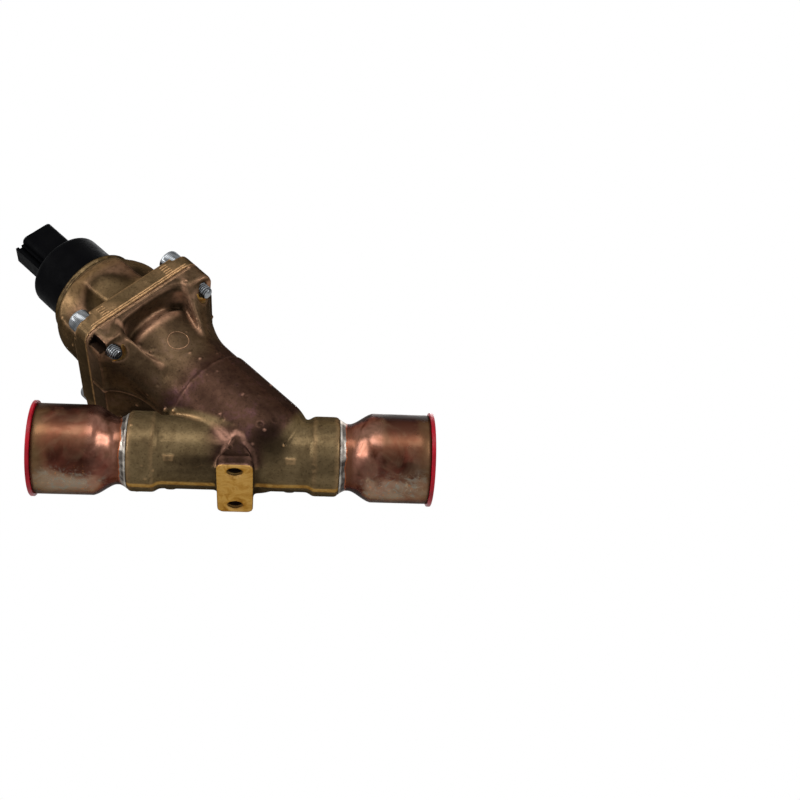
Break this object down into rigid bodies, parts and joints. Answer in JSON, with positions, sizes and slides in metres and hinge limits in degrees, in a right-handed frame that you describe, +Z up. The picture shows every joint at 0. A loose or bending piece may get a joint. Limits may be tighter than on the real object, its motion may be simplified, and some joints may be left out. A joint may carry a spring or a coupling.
{
  "type": "electronic throttle valve",
  "caption": "Angle-pattern electronic throttle valve with solder couplings, bolted square cover, stepper motor cap with connector socket, and a drilled mounting pad.",
  "frame": {"origin": "middle of the machined mounting pad under the pipe run, between its two tapped holes", "axes": "+X along the pipe towards the outlet, +Z up from the pad towards the motor side, +Y across; the barrel rises at 45 degrees towards -X and +Z"},
  "size_m": [0.1895, 0.0624, 0.1417],
  "materials": {
    "cast_bronze": "sand-cast bronze with brown and violet heat patina, satin",
    "cover_bronze": "cast bronze, olive brown, satin",
    "copper": "drawn copper with torch oxide stains",
    "braze": "rough silver brazing alloy",
    "plug_plastic": "red moulded polyethylene",
    "zinc_steel": "bright zinc-plated steel",
    "seal_rubber": "black O-ring rubber",
    "machined_brass": "turned brass",
    "steel": "ground stainless steel",
    "white_plastic": "filled bearing plastic",
    "magnet": "sintered ferrite",
    "black_plastic": "black glass-filled plastic, fine satin",
    "tinned": "tin-plated brass"
  },
  "bodies": {
    "housing": {"valve_body": "cast_bronze", "cover": "cover_bronze", "inlet_coupling": "copper", "outlet_coupling": "copper", "inlet_braze": "braze", "outlet_braze": "braze", "cover_screws": "zinc_steel", "cover_seal": "seal_rubber", "seat_ring": "machined_brass", "guide_sleeve": "steel", "lower_bush": "machined_brass", "upper_bush": "machined_brass", "rotor_can": "steel", "stator_coils": "copper", "stator_poles": "zinc_steel", "stator_spacer": "black_plastic", "motor_cap": "black_plastic", "connector_pins": "tinned", "cap_seal": "seal_rubber"},
    "rotor_group": {"spindle": "steel", "rotor_hub": "white_plastic", "rotor_magnet": "magnet"},
    "piston_group": {"piston": "machined_brass", "piston_ring": "white_plastic", "spindle_nut": "white_plastic"},
    "inlet_plug_group": {"inlet_plug": "plug_plastic"},
    "outlet_plug_group": {"outlet_plug": "plug_plastic"}
  },
  "joints": [
    {"name": "rotor_turn", "type": "hinge", "parent": "housing", "child": "rotor_group", "pos_m": [0.0159, 0, 0.0175], "axis": [-0.7071, 0, 0.7071], "range_deg": [0, 2160.5]},
    {"name": "piston_lift", "type": "slide", "parent": "housing", "child": "piston_group", "axis": [-0.7071, 0, 0.7071], "range_m": [0, 0.012]},
    {"name": "inlet_plug_pull", "type": "slide", "parent": "housing", "child": "inlet_plug_group", "axis": [-1, 0, 0], "range_m": [0, 0.02]},
    {"name": "outlet_plug_pull", "type": "slide", "parent": "housing", "child": "outlet_plug_group", "axis": [1, 0, 0], "range_m": [0, 0.02]}
  ],
  "couplings": [
    {"joint": "rotor_turn", "follows": "piston_lift", "rad_per_m": 3141.6}
  ]
}
